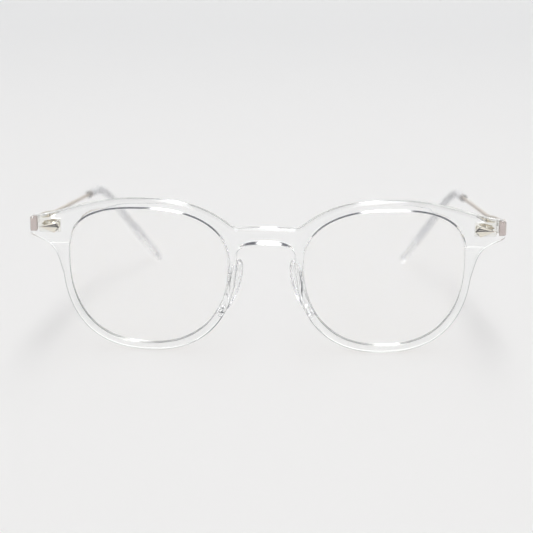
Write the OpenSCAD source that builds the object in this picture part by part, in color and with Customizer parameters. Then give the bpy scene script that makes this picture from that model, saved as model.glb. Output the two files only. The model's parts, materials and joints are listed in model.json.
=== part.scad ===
// Round panto glasses: a clear moulded front, clip-in lenses, and two folding metal temples.
// Millimetres, +Z up. X is across the face and Y runs back along the temples.
// The origin is on the table, on the plane of symmetry, half way from front to back.
// Left is the wearer's left, +X. Every right-hand piece is the mirror of the left one.

/* [Front] */
// Width over the endpieces
front_w = 142.4; // [140:0.2:146]
// Height of the front at the brows
front_h = 46.1; // [45.6:0.1:47]
// Thickness of the rims
front_t = 3.8; // [3.4:0.1:4.2]
// Radius of the front's wrap round the face, seen from above
wrap_r = 450; // [400:10:700]
// Width of the rim round the lens, seen from the front
rim_w = 2.3; // [2.1:0.1:2.5]
// Height of the top of the bridge
bridge_top = 38.0; // [37.6:0.1:38.6]

/* [Lenses] */
// Width of a lens opening
lens_w = 48.0; // [47:0.2:48.4]
// Height of a lens opening
lens_h = 40.8; // [40.2:0.1:41.2]
// Distance between the two openings across the bridge
lens_gap = 22.4; // [22:0.2:23]
// Thickness of a lens
lens_t = 1.8; // [1.6:0.1:2.2]

/* [Hinges] */
// Height of the hinge's centre
hinge_z = 36.9; // [36.7:0.1:37.1]
// Height of the barrel of three knuckles
hinge_h = 4.0; // [3.8:0.1:4.2]
// Outer radius of a knuckle
knuckle_r = 1.4; // [1.3:0.05:1.45]
// Radius of the hinge screw's shank
screw_r = 0.68; // [0.6:0.01:0.72]

/* [Temples] */
// Radius of the wire
wire_r = 0.6; // [0.5:0.05:0.65]
// Distance from the middle of the bridge back to the end of a tip
temple_depth = 133.3; // [130:0.1:136]
// Length of wire that shows in front of the tip, measured along Y from the end block
wire_run = 64; // [62:1:66]
// Radius the wire is drawn down to inside a tip
core_r = 0.36; // [0.3:0.02:0.4]
// Radius of a tip at its front end
tip_r_front = 1.25; // [1.2:0.05:1.4]
// Radius of a tip at its far end
tip_r_end = 1.9; // [1.7:0.05:2]

/* [Hidden] */

clear_plastic = [0.93, 0.95, 0.96, 0.45];
lens_tint = [0.85, 0.92, 1.0, 0.3];
champagne_metal = [0.8, 0.76, 0.7];
steel = [0.75, 0.75, 0.76];
nylon = [0.9, 0.9, 0.88];

smooth = 48;          // facets of a small round in the preview
wrap_smooth = 720;    // facets of the wrap cylinders
tall = 60;            // taller than the front
deep = 40;            // deeper than the front

// Lens opening: four quarters of a superellipse that meet at its extremes
eye_in = lens_gap / 2;
eye_out = eye_in + lens_w;
eye_low = rim_w;
eye_high = eye_low + lens_h;
eye_top_x = eye_in + 0.525 * lens_w;
brow_x = eye_in + 0.57 * lens_w;      // where the brow is highest
eye_bottom_x = eye_in + 0.485 * lens_w;
eye_out_z = eye_low + 0.655 * lens_h;
eye_in_z = eye_low + 0.606 * lens_h;
out_high_n = 2.75;
in_high_n = 2.25;
in_low_n = 2.27;
out_low_n = 2.4;
quarter_steps = 12;

// Endpiece
end_x = front_w / 2;
end_low = 34.4;
end_high = front_h - 6.2;
end_corner = 0.8;
end_back = wrap_y(end_x) + front_t / 2 + 0.4;   // flat back plane of the endpiece
curve_steps = 10;

// Hinge
pivot_x = end_x - 3.9;
pivot_y = end_back + knuckle_r + 0.2;
leaf_t = 0.9;
leaf_in_x = end_x - 9.3;
leaf_out_x = pivot_x + 1.1;
outer_knuckle_h = 0.2875 * hinge_h;
washer_t = 0.15;
run_gap = 0.02;       // end play of the middle knuckle
bore_r = screw_r + 0.04;
mid_knuckle_h = hinge_h - 2 * (outer_knuckle_h + washer_t + run_gap);
hinge_low = hinge_z - hinge_h / 2;

// Rivets
pin_r = 0.5;
pin_clearance = 0.02;
pin_x = [end_x - 7.9, end_x - 5.8];
plaque_rise = 1.2;

// Temple
swing_gap = 0.06;     // between the end block and the endpiece
block_in_x = pivot_x + 2.0;
block_out_x = end_x + 0.6;
block_front = end_back + swing_gap;
block_back = block_front + 5.5;
neck_run = 22;        // the flat part of the arm, behind the block
neck_h = 3.4;
arm_start = [end_x - 0.9, block_back, hinge_z];
arm_way = unit([-0.099, 1, -0.045]);
tip_start = arm_start + arm_way * wire_run;
tip_corner = tip_start + arm_way * 21;          // where the two straight runs would meet
tip_end = [46.3, temple_depth - tip_r_end, tip_r_end];
tip_way = unit(tip_end - tip_corner);
bend_r = 25;
bend_angle = acos(arm_way * tip_way);
bend_run = bend_r * tan(bend_angle / 2);        // corner to each end of the bend
bend_start = tip_corner - arm_way * bend_run;
leg_run = norm(tip_corner - arm_start) - bend_run;
drop_run = norm(tip_end - tip_corner) - bend_run;
tip_r_bend = tip_r_front + 0.2;
core_run = 0.65 * drop_run;                     // how far past the bend the core reaches
core_gap = 0.03;
core_seat = 1.6;      // how far the full wire reaches into a tip before it is drawn down
joint_lap = 0.4;      // how far a straight run reaches into a bend
joint_step = 0.02;    // a bend is this much thicker, so that the straight runs end inside it

// The whole object is moved forward so that the origin is half way from front to back
front_y = -(temple_depth - front_t / 2) / 2;

// ---- shared functions ----

function unit(v) = v / norm(v);

// How far the front's middle surface has curved back at x
function wrap_y(x) = wrap_r - sqrt(wrap_r * wrap_r - x * x);

function signed_power(v, p) = sign(v) * pow(abs(v), p);

// Point on a superellipse of exponent n at angle a
function super_point(centre, radii, n, a) = [
    centre[0] + radii[0] * signed_power(cos(a), 2 / n),
    centre[1] + radii[1] * signed_power(sin(a), 2 / n)
];

// Superellipse arc from angle a0 to a1, without its last point
function super_arc(centre, radii, n, a0, a1, steps = quarter_steps) = [
    for (i = [0:steps - 1]) super_point(centre, radii, n, a0 + (a1 - a0) * i / steps)
];

// Lens outline grown by g, anticlockwise from the temple side
function eye_outline(g) = concat(
    super_arc([eye_top_x, eye_out_z], [eye_out - eye_top_x + g, eye_high - eye_out_z + g], out_high_n, 0, 90),
    super_arc([eye_top_x, eye_in_z], [eye_top_x - eye_in + g, eye_high - eye_in_z + g], in_high_n, 90, 180),
    super_arc([eye_bottom_x, eye_in_z], [eye_bottom_x - eye_in + g, eye_in_z - eye_low + g], in_low_n, 180, 270),
    super_arc([eye_bottom_x, eye_out_z], [eye_out - eye_bottom_x + g, eye_out_z - eye_low + g], out_low_n, 270, 360)
);

// Point at t on a Bezier curve through any number of control points
function bezier(p, t) = len(p) == 1
    ? p[0]
    : bezier([for (i = [0:len(p) - 2]) p[i] * (1 - t) + p[i + 1] * t], t);

// Bezier curve without its last point
function bezier_arc(p, steps = curve_steps) = [for (i = [0:steps - 1]) bezier(p, i / steps)];

// ---- outline of the front ----

// Outside of the rim at angle a, below the temple side and below the nose side
function rim_out_low(a) = super_point([eye_bottom_x, eye_out_z],
    [eye_out - eye_bottom_x + rim_w, eye_out_z - eye_low + rim_w], out_low_n, a);
function rim_in_low(a) = super_point([eye_bottom_x, eye_in_z],
    [eye_bottom_x - eye_in + rim_w, eye_in_z - eye_low + rim_w], in_low_n, a);

rim_leave = 350.5;    // where the endpiece's fillet meets the rim
rim_nose = 192;       // where the nose side leaves the rim
arch_w = 8.6;         // half width of the arch under the bridge
arch_foot = 29.4;
arch_top = 32.9;
step_x = 9.6;         // corner where the bridge meets the brow

// Half of the outline, clockwise from the top of the bridge to the top of the arch
half_outline = concat(
    [[0, bridge_top], [step_x - 3, bridge_top - 0.15]],
    bezier_arc([[step_x - 1.3, bridge_top - 0.25], [step_x, bridge_top - 0.3], [step_x + 1.1, bridge_top + 0.5]], 4),
    bezier_arc([[step_x + 1.1, bridge_top + 0.5], [19.5, front_h - 1.0], [27, front_h + 0.1], [brow_x, front_h]]),
    bezier_arc([[brow_x, front_h], [54.5, front_h - 0.2], [end_x - 10.4, end_high + 0.7],
        [end_x - end_corner, end_high]]),
    bezier_arc([[end_x - end_corner, end_high], [end_x, end_high], [end_x, end_high - end_corner]], 4),
    bezier_arc([[end_x, end_low + end_corner], [end_x, end_low], [end_x - 1.2, end_low - 0.5]], 4),
    bezier_arc([[end_x - 1.2, end_low - 0.5], [end_x - 4.7, 32.6], [end_x - 8.2, 31.2], [end_x - 8.1, 28.5],
        rim_out_low(rim_leave)]),
    [for (i = [0:15]) rim_out_low(rim_leave + (270 - rim_leave) * i / 16)],
    [for (i = [0:15]) rim_in_low(270 + (rim_nose - 270) * i / 16)],
    bezier_arc([rim_in_low(rim_nose), [eye_in - rim_w - 0.1, 25], [arch_w, 27], [arch_w, arch_foot]], 5),
    super_arc([0, arch_foot], [arch_w, arch_top - arch_foot], 2.6, 0, 90, 8),
    [[0, arch_top]]
);
front_outline = concat(
    half_outline,
    [for (i = [len(half_outline) - 2:-1:1]) [-half_outline[i][0], half_outline[i][1]]]
);

// ---- shared building blocks ----

// Moves a piece from the bridge's own frame to the object's frame
module placed() {
    translate([0, front_y, 0]) children();
}

module mirrored_placed() {
    translate([0, front_y, 0]) mirror([1, 0, 0]) children();
}

// A flat outline in X and Z, made into a prism along Y
module facing(from_y, to_y) {
    translate([0, to_y, 0]) rotate([90, 0, 0]) linear_extrude(to_y - from_y) children();
}

// The layer from `ahead` in front of the middle surface to `behind` it
module wrap_layer(ahead, behind) {
    translate([0, wrap_r, -1]) difference() {
        cylinder(r = wrap_r + ahead, h = tall, $fn = wrap_smooth);
        translate([0, 0, -1]) cylinder(r = wrap_r - behind, h = tall + 2, $fn = wrap_smooth);
    }
}

module pin_holes(r, from_y, to_y) {
    for (x = pin_x) translate([x, to_y, hinge_z]) rotate([90, 0, 0]) cylinder(r = r, h = to_y - from_y, $fn = smooth);
}

// ---- front ----

// Extra thickness behind an endpiece, up to its flat back plane
module endpiece_back() {
    translate([0, 0, 31.8]) linear_extrude(tall) polygon([
        [end_x - 11.2, wrap_y(end_x - 11.2)], [end_x - 11, wrap_y(end_x - 11) + front_t / 2 - 0.2],
        [end_x - 9.6, end_back], [end_x + 1, end_back], [end_x + 1, wrap_y(end_x)]
    ]);
}

module hinge_pocket() {
    translate([leaf_in_x, end_back - leaf_t, hinge_low])
        cube([leaf_out_x - leaf_in_x, leaf_t + 1, hinge_h]);
}

module each_side() {
    children();
    mirror([1, 0, 0]) children();
}

module front_frame() {
    color(clear_plastic) difference() {
        intersection() {
            facing(-deep / 2, deep / 2) polygon(front_outline);
            union() {
                wrap_layer(front_t / 2, front_t / 2);
                each_side() endpiece_back();
            }
        }
        each_side() facing(-deep, deep) polygon(eye_outline(0));
        intersection() {
            wrap_layer(0.45, 0.45);
            each_side() facing(-deep / 2, deep / 2) polygon(eye_outline(0.5));
        }
        each_side() hinge_pocket();
        each_side() pin_holes(pin_r + pin_clearance, -2, end_back + 1);
    }
}

// ---- lens: a thin shell with a narrower flange that sits in the groove ----

module lens() {
    color(lens_tint) union() {
        intersection() {
            wrap_layer(lens_t / 2, lens_t / 2);
            facing(-deep / 2, deep / 2) polygon(eye_outline(-0.05));
        }
        intersection() {
            wrap_layer(0.4, 0.4);
            facing(-deep / 2, deep / 2) polygon(eye_outline(0.45));
        }
    }
}

// ---- nose pad, cemented to the back of the rim ----

module nose_pad() {
    crest = [[8.9, 4.6, 25.3, 2.1], [10.0, 5.1, 20.3, 2.4], [13.4, 3.9, 12.4, 1.4]];
    root = [[10.4, 2.6, 25.4, 1.2], [12.0, 2.6, 18, 1.2], [11.6, 6.6, 19.6, 1.5]];
    color(clear_plastic) difference() {
        hull() {
            for (s = concat(crest, root))
                translate([s[0], s[1] + front_t / 2 - 1.9, s[2]]) sphere(r = s[3], $fn = 32);
        }
        translate([0, wrap_r, 0]) difference() {
            cylinder(r = wrap_r + deep, h = tall, $fn = wrap_smooth);
            translate([0, 0, -1]) cylinder(r = wrap_r - front_t / 2, h = tall + 2, $fn = wrap_smooth);
        }
    }
}

// ---- rivet stud: arrowhead plaque and two pins ----

module rivet_stud() {
    plaque = [[end_x - 3.1, 0], [end_x - 7.5, 1.7], [end_x - 9.2, 0], [end_x - 7.5, -1.7]];
    color(champagne_metal) union() {
        intersection() {
            wrap_layer(front_t / 2 + plaque_rise, -front_t / 2);
            facing(-deep / 2, deep / 2) translate([0, hinge_z]) polygon(plaque);
        }
        pin_holes(pin_r, wrap_y(pin_x[0]) - front_t / 2 - 0.4, end_back + 0.15);
    }
}

// ---- hinge ----

module barrel(low, h, r) {
    translate([pivot_x, pivot_y, low]) cylinder(r = r, h = h, $fn = smooth);
}

module knuckle_root(low, h) {
    translate([pivot_x - 1.0, end_back - 0.2, low]) cube([2.0, pivot_y - end_back + 0.2, h]);
}

module front_hinge() {
    upper_low = hinge_low + hinge_h - outer_knuckle_h;
    color(champagne_metal) difference() {
        union() {
            translate([leaf_in_x, end_back - leaf_t, hinge_low])
                cube([leaf_out_x - leaf_in_x, leaf_t, hinge_h]);
            for (low = [hinge_low, upper_low]) {
                barrel(low, outer_knuckle_h, knuckle_r);
                knuckle_root(low, outer_knuckle_h);
            }
        }
        barrel(hinge_low - 1, hinge_h + 2, bore_r);
        pin_holes(pin_r + pin_clearance, end_back - leaf_t - 1, end_back + 1);
    }
}

module hinge_screw() {
    head_h = 0.5;
    top = hinge_low + hinge_h;
    color(steel) difference() {
        union() {
            barrel(hinge_low, hinge_h + head_h / 2, screw_r);
            barrel(top, head_h, knuckle_r - 0.2);
        }
        translate([pivot_x - 2, pivot_y - 0.15, top + head_h - 0.25]) cube([4, 0.3, 1]);
    }
}

module hinge_washers() {
    color(nylon) difference() {
        for (low = [hinge_low + outer_knuckle_h, hinge_low + hinge_h - outer_knuckle_h - washer_t])
            barrel(low, washer_t, knuckle_r - 0.05);
        barrel(hinge_low - 1, hinge_h + 2, bore_r);
    }
}

module temple_hinge() {
    mid_low = hinge_z - mid_knuckle_h / 2;
    leaf_h = hinge_h - 1.2;
    color(champagne_metal) difference() {
        union() {
            barrel(mid_low, mid_knuckle_h, knuckle_r);
            translate([pivot_x, pivot_y - 0.7, mid_low]) cube([block_in_x - pivot_x, 1.4, mid_knuckle_h]);
            translate([block_in_x - 0.5, pivot_y - 0.7, hinge_z - leaf_h / 2])
                cube([0.5, block_back - pivot_y + 0.7, leaf_h]);
        }
        barrel(hinge_low - 1, hinge_h + 2, bore_r);
    }
}

// ---- temple ----

module end_block() {
    color(champagne_metal)
        translate([block_in_x, block_front, hinge_low])
            cube([block_out_x - block_in_x, block_back - block_front, hinge_h]);
}

// Local X runs along `way`, local Z is as near upright as it can be
module along(from, way) {
    side = unit(cross([0, 0, 1], way));
    up = cross(way, side);
    multmatrix([
        [way[0], side[0], up[0], from[0]],
        [way[1], side[1], up[1], from[1]],
        [way[2], side[2], up[2], from[2]]
    ]) children();
}

// Origin where the bend starts, local X along the arm; the tip drops away towards local Y
module in_bend_plane() {
    across = unit(cross(arm_way, tip_way));
    down = cross(across, arm_way);
    multmatrix([
        [arm_way[0], down[0], across[0], bend_start[0]],
        [arm_way[1], down[1], across[1], bend_start[1]],
        [arm_way[2], down[2], across[2], bend_start[2]]
    ]) children();
}

// Rod of radius r along the straight part of the arm, between two distances behind the end block
module arm_rod(r, from, to) {
    along(arm_start, arm_way) translate([from, 0, 0]) rotate([0, 90, 0])
        cylinder(r = r, h = to - from, $fn = 24);
}

// Rod of radius r that runs `before` up to the bend, round it, and `after` past it
module bent_rod(r, before, after) {
    in_bend_plane() {
        rotate([0, 90, 0]) translate([0, 0, -before]) cylinder(r = r, h = before + joint_lap, $fn = 24);
        bend(r + joint_step);
        past_bend() translate([0, 0, -joint_lap]) cylinder(r = r, h = after + joint_lap, $fn = 24);
    }
}

module bend(r) {
    translate([0, bend_r, 0]) rotate([0, 0, -90])
        rotate_extrude(angle = bend_angle, $fn = 180) translate([bend_r, 0]) circle(r = r, $fn = 24);
}

// Local Z runs down the tip from the end of the bend
module past_bend() {
    translate([0, bend_r, 0]) rotate([0, 0, bend_angle]) translate([0, -bend_r, 0])
        rotate([0, 90, 0]) children();
}

module temple_arm() {
    neck_edge = bezier_arc([[-1, neck_h / 2], [9, neck_h / 2], [12, wire_r], [neck_run, wire_r]], 8);
    color(champagne_metal) difference() {
        union() {
            along(arm_start, arm_way) translate([0, wire_r, 0]) rotate([90, 0, 0])
                linear_extrude(2 * wire_r) polygon(concat(
                    neck_edge, [[neck_run, wire_r], [neck_run, -wire_r]],
                    [for (i = [len(neck_edge) - 1:-1:0]) [neck_edge[i][0], -neck_edge[i][1]]]
                ));
            arm_rod(wire_r, neck_run - 0.5, wire_run + core_seat);
            bent_rod(core_r, leg_run - wire_run, core_run);
        }
        translate(arm_start + [-5, -5, -5]) cube([10, 5, 10]);
    }
}

module temple_tip() {
    front_run = leg_run - wire_run;
    color(clear_plastic) difference() {
        in_bend_plane() {
            rotate([0, 90, 0]) translate([0, 0, -front_run])
                cylinder(r1 = tip_r_front, r2 = tip_r_bend, h = front_run + joint_lap, $fn = 32);
            bend(tip_r_bend + joint_step);
            past_bend() rotate_extrude($fn = 32) polygon(concat(
                [[0, -joint_lap], [tip_r_bend, -joint_lap]],
                super_arc([0, drop_run], [tip_r_end, tip_r_end], 2, 0, 90, 8),
                [[0, drop_run + tip_r_end]]
            ));
        }
        arm_rod(wire_r + core_gap, wire_run - 1, wire_run + core_seat + core_gap);
        bent_rod(core_r + core_gap, front_run, core_run);
    }
}

placed() front_frame();
placed() lens();  // lens_left
mirrored_placed() lens();  // lens_right
placed() nose_pad();  // nose_pad_left
mirrored_placed() nose_pad();  // nose_pad_right
placed() rivet_stud();  // rivet_stud_left
mirrored_placed() rivet_stud();  // rivet_stud_right
placed() front_hinge();  // front_hinge_left
mirrored_placed() front_hinge();  // front_hinge_right
placed() hinge_screw();  // hinge_screw_left
mirrored_placed() hinge_screw();  // hinge_screw_right
placed() hinge_washers();  // hinge_washers_left
mirrored_placed() hinge_washers();  // hinge_washers_right
placed() temple_hinge();  // temple_hinge_left
mirrored_placed() temple_hinge();  // temple_hinge_right
placed() end_block();  // end_block_left
mirrored_placed() end_block();  // end_block_right
placed() temple_arm();  // temple_arm_left
mirrored_placed() temple_arm();  // temple_arm_right
placed() temple_tip();  // temple_tip_left
mirrored_placed() temple_tip();  // temple_tip_right
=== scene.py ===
"""Clear panto glasses with slim metal temples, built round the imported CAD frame.

Sizes are in millimetres until a mesh is made. X is across the face, Y runs back and Z is up.
Left is the wearer's left, +X, and every right-hand piece is the mirror of the left one.
"""

import json
import math

import bmesh
import bpy
import numpy as np
from mathutils import Matrix, Vector
from mathutils.geometry import delaunay_2d_cdt


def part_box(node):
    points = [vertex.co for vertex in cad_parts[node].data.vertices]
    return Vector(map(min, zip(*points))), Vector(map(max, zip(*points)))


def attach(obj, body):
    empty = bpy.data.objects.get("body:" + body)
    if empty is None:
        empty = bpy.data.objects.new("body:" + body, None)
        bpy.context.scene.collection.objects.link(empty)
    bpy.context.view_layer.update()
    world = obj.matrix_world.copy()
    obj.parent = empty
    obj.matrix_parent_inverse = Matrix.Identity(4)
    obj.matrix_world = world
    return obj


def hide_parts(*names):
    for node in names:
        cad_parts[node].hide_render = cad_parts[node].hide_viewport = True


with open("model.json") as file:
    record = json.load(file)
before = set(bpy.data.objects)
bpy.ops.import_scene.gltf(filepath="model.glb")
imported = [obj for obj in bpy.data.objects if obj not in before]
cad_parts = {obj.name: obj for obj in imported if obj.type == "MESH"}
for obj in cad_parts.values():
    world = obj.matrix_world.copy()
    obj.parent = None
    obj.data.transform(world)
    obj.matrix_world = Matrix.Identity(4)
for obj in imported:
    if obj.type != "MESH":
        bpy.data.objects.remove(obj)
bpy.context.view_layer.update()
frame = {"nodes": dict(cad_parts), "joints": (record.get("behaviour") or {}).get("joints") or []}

# ---- sizes read from the frame ----

MM = 0.001


def box_mm(node):
    low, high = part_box(node)
    return np.array(low) / MM, np.array(high) / MM


front_low, front_high = box_mm("front_frame")
lens_low, lens_high = box_mm("lens_left")
leaf_low, leaf_high = box_mm("front_hinge_left")
block_back = box_mm("end_block_left")[1][1]
tip_low, tip_high = box_mm("temple_tip_left")
pivot = np.array(next(j for j in frame["joints"] if j["name"] == "temple_left_fold")["pos_m"]) / MM

FRONT_T = 3.8                           # thickness of the rims
WRAP_R = 450.0                          # radius of the front's wrap
RIM_W = 2.3                             # width of the rim round the lens
SEAT = 0.45                             # how far the lens reaches into the groove
END_X, END_BACK, FRONT_H = front_high[0], front_high[1], front_high[2]
MID_Y = front_low[1] + FRONT_T / 2      # the front's middle surface at the bridge
EYE_IN, EYE_OUT = lens_low[0] + SEAT, lens_high[0] - SEAT
EYE_LOW, EYE_HIGH = lens_low[2] + SEAT, lens_high[2] - SEAT
HINGE_Z = pivot[2]
PIN_XS = (END_X - 7.9, END_X - 5.8)     # the two rivets
PIN_R = 0.5
LEAF_OUT = pivot[0] + 1.1
SUNK = 0.03                             # how far the plastic grips the metal set into it

# ---- curves ----


def super_point(centre, radii, power, angle):
    c, s = np.cos(angle), np.sin(angle)
    x = centre[0] + radii[0] * np.sign(c) * np.abs(c) ** (2 / power)
    z = centre[1] + radii[1] * np.sign(s) * np.abs(s) ** (2 / power)
    return np.stack([x, z], axis=-1)


def super_arc(centre, radii, power, start, end, steps=60):
    """Superellipse arc from start to end in degrees, without its last point."""
    return super_point(centre, radii, power, np.radians(np.linspace(start, end, steps, endpoint=False)))


def bezier(points, t):
    p = [np.array(q, float)[None, :] * np.ones((len(t), 1)) for q in points]
    while len(p) > 1:
        p = [a * (1 - t[:, None]) + b * t[:, None] for a, b in zip(p, p[1:])]
    return p[0]


def bezier_arc(points, steps=60):
    return bezier(points, np.linspace(0, 1, steps, endpoint=False))


def resample(points, spacing):
    """The closed line through points, with evenly spaced points."""
    ring = np.vstack([points, points[:1]])
    run = np.concatenate([[0], np.cumsum(np.linalg.norm(np.diff(ring, axis=0), axis=1))])
    at = np.linspace(0, run[-1], int(run[-1] / spacing), endpoint=False)
    return np.stack([np.interp(at, run, ring[:, k]) for k in range(2)], axis=1)


def outward(points, smoothing=2):
    """Unit normals of a closed anticlockwise line, pointing away from its inside."""
    along = np.roll(points, -1, axis=0) - np.roll(points, 1, axis=0)
    for _ in range(smoothing):
        along = along + 0.5 * (np.roll(along, -1, axis=0) + np.roll(along, 1, axis=0))
    along /= np.linalg.norm(along, axis=1, keepdims=True)
    return np.stack([along[:, 1], -along[:, 0]], axis=1)


def anticlockwise(points):
    x, z = points[:, 0], points[:, 1]
    area = np.sum(x * np.roll(z, -1) - np.roll(x, -1) * z)
    return points if area > 0 else points[::-1]


def rise(value, start, end):
    """0 up to start and 1 from end on, with a smooth slope between."""
    t = np.clip((value - start) / (end - start), 0, 1)
    return t * t * (3 - 2 * t)


# ---- outline of the front, as in the CAD ----

EYE_W, EYE_H = EYE_OUT - EYE_IN, EYE_HIGH - EYE_LOW
TOP_X, BOTTOM_X, BROW_X = EYE_IN + 0.525 * EYE_W, EYE_IN + 0.485 * EYE_W, EYE_IN + 0.57 * EYE_W
OUT_Z, IN_Z = EYE_LOW + 0.655 * EYE_H, EYE_LOW + 0.606 * EYE_H
OUT_HIGH_N, IN_HIGH_N, IN_LOW_N, OUT_LOW_N = 2.75, 2.25, 2.27, 2.4
BRIDGE_TOP = 38.0
ARCH_W, ARCH_FOOT, ARCH_TOP = 8.6, 29.4, 32.9
STEP_X = 9.6
END_LOW, END_HIGH, END_CORNER = 34.4, FRONT_H - 6.2, 0.8
RIM_LEAVE, RIM_NOSE = 350.5, 192.0


def eye_outline(spacing=0.4):
    """The left lens opening: four superellipse quarters."""
    parts = [
        super_arc((TOP_X, OUT_Z), (EYE_OUT - TOP_X, EYE_HIGH - OUT_Z), OUT_HIGH_N, 0, 90),
        super_arc((TOP_X, IN_Z), (TOP_X - EYE_IN, EYE_HIGH - IN_Z), IN_HIGH_N, 90, 180),
        super_arc((BOTTOM_X, IN_Z), (BOTTOM_X - EYE_IN, IN_Z - EYE_LOW), IN_LOW_N, 180, 270),
        super_arc((BOTTOM_X, OUT_Z), (EYE_OUT - BOTTOM_X, OUT_Z - EYE_LOW), OUT_LOW_N, 270, 360),
    ]
    return resample(np.vstack(parts), spacing)


def rim_low(centre_z, reach, power, start, end, steps=90):
    """Lower outline of a rim, RIM_W outside the lens opening."""
    radii = (reach + RIM_W, centre_z - EYE_LOW + RIM_W)
    return super_arc((BOTTOM_X, centre_z), radii, power, start, end, steps)


def front_outline(spacing=0.3):
    """The front's edge: bridge, brow, endpiece, rim, nose and arch of the left half, and their mirror."""
    leave = rim_low(OUT_Z, EYE_OUT - BOTTOM_X, OUT_LOW_N, RIM_LEAVE, 270)
    nose = rim_low(IN_Z, BOTTOM_X - EYE_IN, IN_LOW_N, 270, RIM_NOSE)
    nose_end = rim_low(IN_Z, BOTTOM_X - EYE_IN, IN_LOW_N, RIM_NOSE, RIM_NOSE + 1, 1)[0]
    step_top = (STEP_X + 1.1, BRIDGE_TOP + 0.5)
    brow_top = (BROW_X, FRONT_H)
    half = np.vstack([
        [[0, BRIDGE_TOP], [STEP_X - 3, BRIDGE_TOP - 0.15]],
        bezier_arc([(STEP_X - 1.3, BRIDGE_TOP - 0.25), (STEP_X, BRIDGE_TOP - 0.3), step_top], 12),
        bezier_arc([step_top, (19.5, FRONT_H - 1.0), (27, FRONT_H + 0.1), brow_top]),
        bezier_arc([brow_top, (54.5, FRONT_H - 0.2), (END_X - 10.4, END_HIGH + 0.7),
                    (END_X - END_CORNER, END_HIGH)]),
        bezier_arc([(END_X - END_CORNER, END_HIGH), (END_X, END_HIGH),
                    (END_X, END_HIGH - END_CORNER)], 12),
        bezier_arc([(END_X, END_LOW + END_CORNER), (END_X, END_LOW), (END_X - 1.2, END_LOW - 0.5)], 12),
        bezier_arc([(END_X - 1.2, END_LOW - 0.5), (END_X - 4.7, 32.6), (END_X - 8.2, 31.2),
                    (END_X - 8.1, 28.5), leave[0]]),
        leave,
        nose,
        bezier_arc([nose_end, (EYE_IN - RIM_W - 0.1, 25), (ARCH_W, 27), (ARCH_W, ARCH_FOOT)], 24),
        super_arc((0, ARCH_FOOT), (ARCH_W, ARCH_TOP - ARCH_FOOT), 2.6, 0, 90, 48),
        [[0, ARCH_TOP]],
    ])
    other = half[-2:0:-1] * (-1, 1)
    return resample(anticlockwise(np.vstack([half, other])), spacing)


# ---- surfaces of the front ----

RAMP_X, RAMP_RUN = 48.0, 13.7           # where the endpiece thickens towards its flat back
RAMP_Z, RAMP_RISE = 31.65, 0.06         # its lower edge is a crisp step


def layer_y(x, behind):
    """Y of the wrapped layer that lies `behind` the middle surface."""
    return MID_Y + WRAP_R - np.sqrt((WRAP_R - behind) ** 2 - x ** 2)


def front_y(x, z):
    """Y of the front face, the same at every height z."""
    return layer_y(x, -FRONT_T / 2)


def back_y(x, z):
    """Y of the back face, which thickens behind the endpieces."""
    rim = layer_y(x, FRONT_T / 2)
    share = rise(np.abs(x), RAMP_X, RAMP_X + RAMP_RUN) * rise(z, RAMP_Z, RAMP_Z + RAMP_RISE)
    return rim + (END_BACK - rim) * share


# ---- mesh helpers ----


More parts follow.
